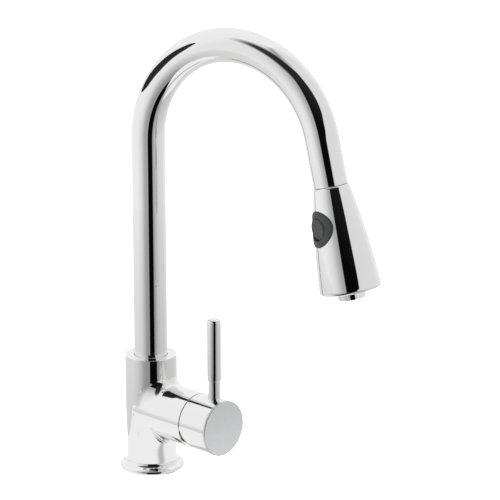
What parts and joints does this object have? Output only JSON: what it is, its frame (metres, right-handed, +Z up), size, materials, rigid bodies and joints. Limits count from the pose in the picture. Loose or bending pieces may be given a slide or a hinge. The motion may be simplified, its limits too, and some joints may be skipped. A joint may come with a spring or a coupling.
{
  "type": "pull down kitchen faucet",
  "caption": "Chrome kitchen faucet: high arched swivel spout, pull-down cone spray head with a push button, front pin-lever mixer, and its below-worktop clamp.",
  "frame": {"origin": "centre of the foot's underside, on the worktop, on the spout's swivel axis", "axes": "+Z up out of the worktop; +X towards the user, along the lever branch; +Y to the user's right"},
  "size_m": [0.2438, 0.0867, 0.4641],
  "materials": {
    "chrome": "mirror-polished chrome plate on brass",
    "hub_face": "satin-ground metal disc",
    "brass": "machined brass",
    "steel": "zinc-plated steel",
    "stainless": "stainless steel",
    "black_rubber": "moulded EPDM rubber",
    "grey_rubber": "soft silicone",
    "white_plastic": "moulded acetal",
    "blue_plastic": "moulded acetal",
    "button_plastic": "dark grey fine-grained ABS",
    "face_plastic": "grey moulded ABS",
    "ceramic": "lapped alumina ceramic",
    "hose_braid": "nylon-braided hose"
  },
  "bodies": {
    "base": {"base_flange": "chrome", "base_gasket": "black_rubber", "faucet_body": "chrome", "inlet_insert": "brass", "fixing_stud": "steel", "clamp_gasket": "black_rubber", "clamp_plate": "steel", "clamp_nut": "brass", "upper_glide_ring": "white_plastic", "lower_glide_ring": "white_plastic", "spout_grub_screw": "steel", "cartridge_base": "white_plastic", "cartridge_seals": "black_rubber", "fixed_disc": "ceramic", "cartridge_housing": "white_plastic", "cartridge_nut": "brass", "cartridge_dome": "chrome"},
    "turret": {"cartridge_turret": "blue_plastic", "stem_pin": "stainless"},
    "carrier": {"disc_carrier": "blue_plastic", "moving_disc": "ceramic"},
    "lever": {"lever_stem": "stainless", "lever_hub": "chrome", "hub_disc": "hub_face", "lever_grub_screw": "steel", "grub_plug": "face_plastic", "pin_lever": "chrome"},
    "spout": {"spout_tube": "chrome", "spout_foot": "brass", "docking_bush": "white_plastic", "hose_run": "hose_braid", "hose_inlet": "brass"},
    "hose_end": {"hose_tail": "hose_braid", "hose_ferrule": "brass"},
    "head": {"head_neck": "white_plastic", "hose_washer": "black_rubber", "check_valve": "blue_plastic", "head_core": "white_plastic", "head_shell": "chrome", "button_bezel": "button_plastic", "spray_plate": "face_plastic", "spray_nozzles": "grey_rubber", "aerator_ring": "chrome", "aerator_insert": "stainless", "head_screws": "stainless"},
    "button": {"push_button": "button_plastic", "diverter_spool": "brass", "spool_seals": "black_rubber", "button_spring": "stainless"}
  },
  "joints": [
    {"name": "spout_swivel", "type": "hinge", "parent": "base", "child": "spout", "pos_m": [0, 0, 0.08], "axis": [0, 0, 1], "continuous": true},
    {"name": "head_pull", "type": "slide", "parent": "spout", "child": "hose_end", "axis": [0.2265, 0.0403, -0.9732], "range_m": [0, 0.14], "deforming": ["hose_tail"]},
    {"name": "head_spin", "type": "hinge", "parent": "hose_end", "child": "head", "pos_m": [0.17314, 0.03084, 0.2699], "axis": [-0.2265, -0.0403, 0.9732], "continuous": true},
    {"name": "button_press", "type": "slide", "parent": "head", "child": "button", "axis": [0.2706, 0.9572, 0.1026], "range_m": [0, 0.0025], "stiffness_N_per_m": 900},
    {"name": "lever_temperature", "type": "hinge", "parent": "base", "child": "turret", "pos_m": [0.0554, 0, 0.0534], "axis": [1, 0, 0], "range_deg": [-45, 45]},
    {"name": "lever_tilt", "type": "hinge", "parent": "turret", "child": "lever", "pos_m": [0.0554, 0, 0.0534], "axis": [0, 1, 0], "range_deg": [0, 20]},
    {"name": "disc_shift", "type": "slide", "parent": "turret", "child": "carrier", "axis": [0, 0, 1], "range_m": [0, 0.0033]}
  ],
  "couplings": [
    {"joint": "disc_shift", "follows": "lever_tilt", "m_per_rad": 0.009014}
  ]
}
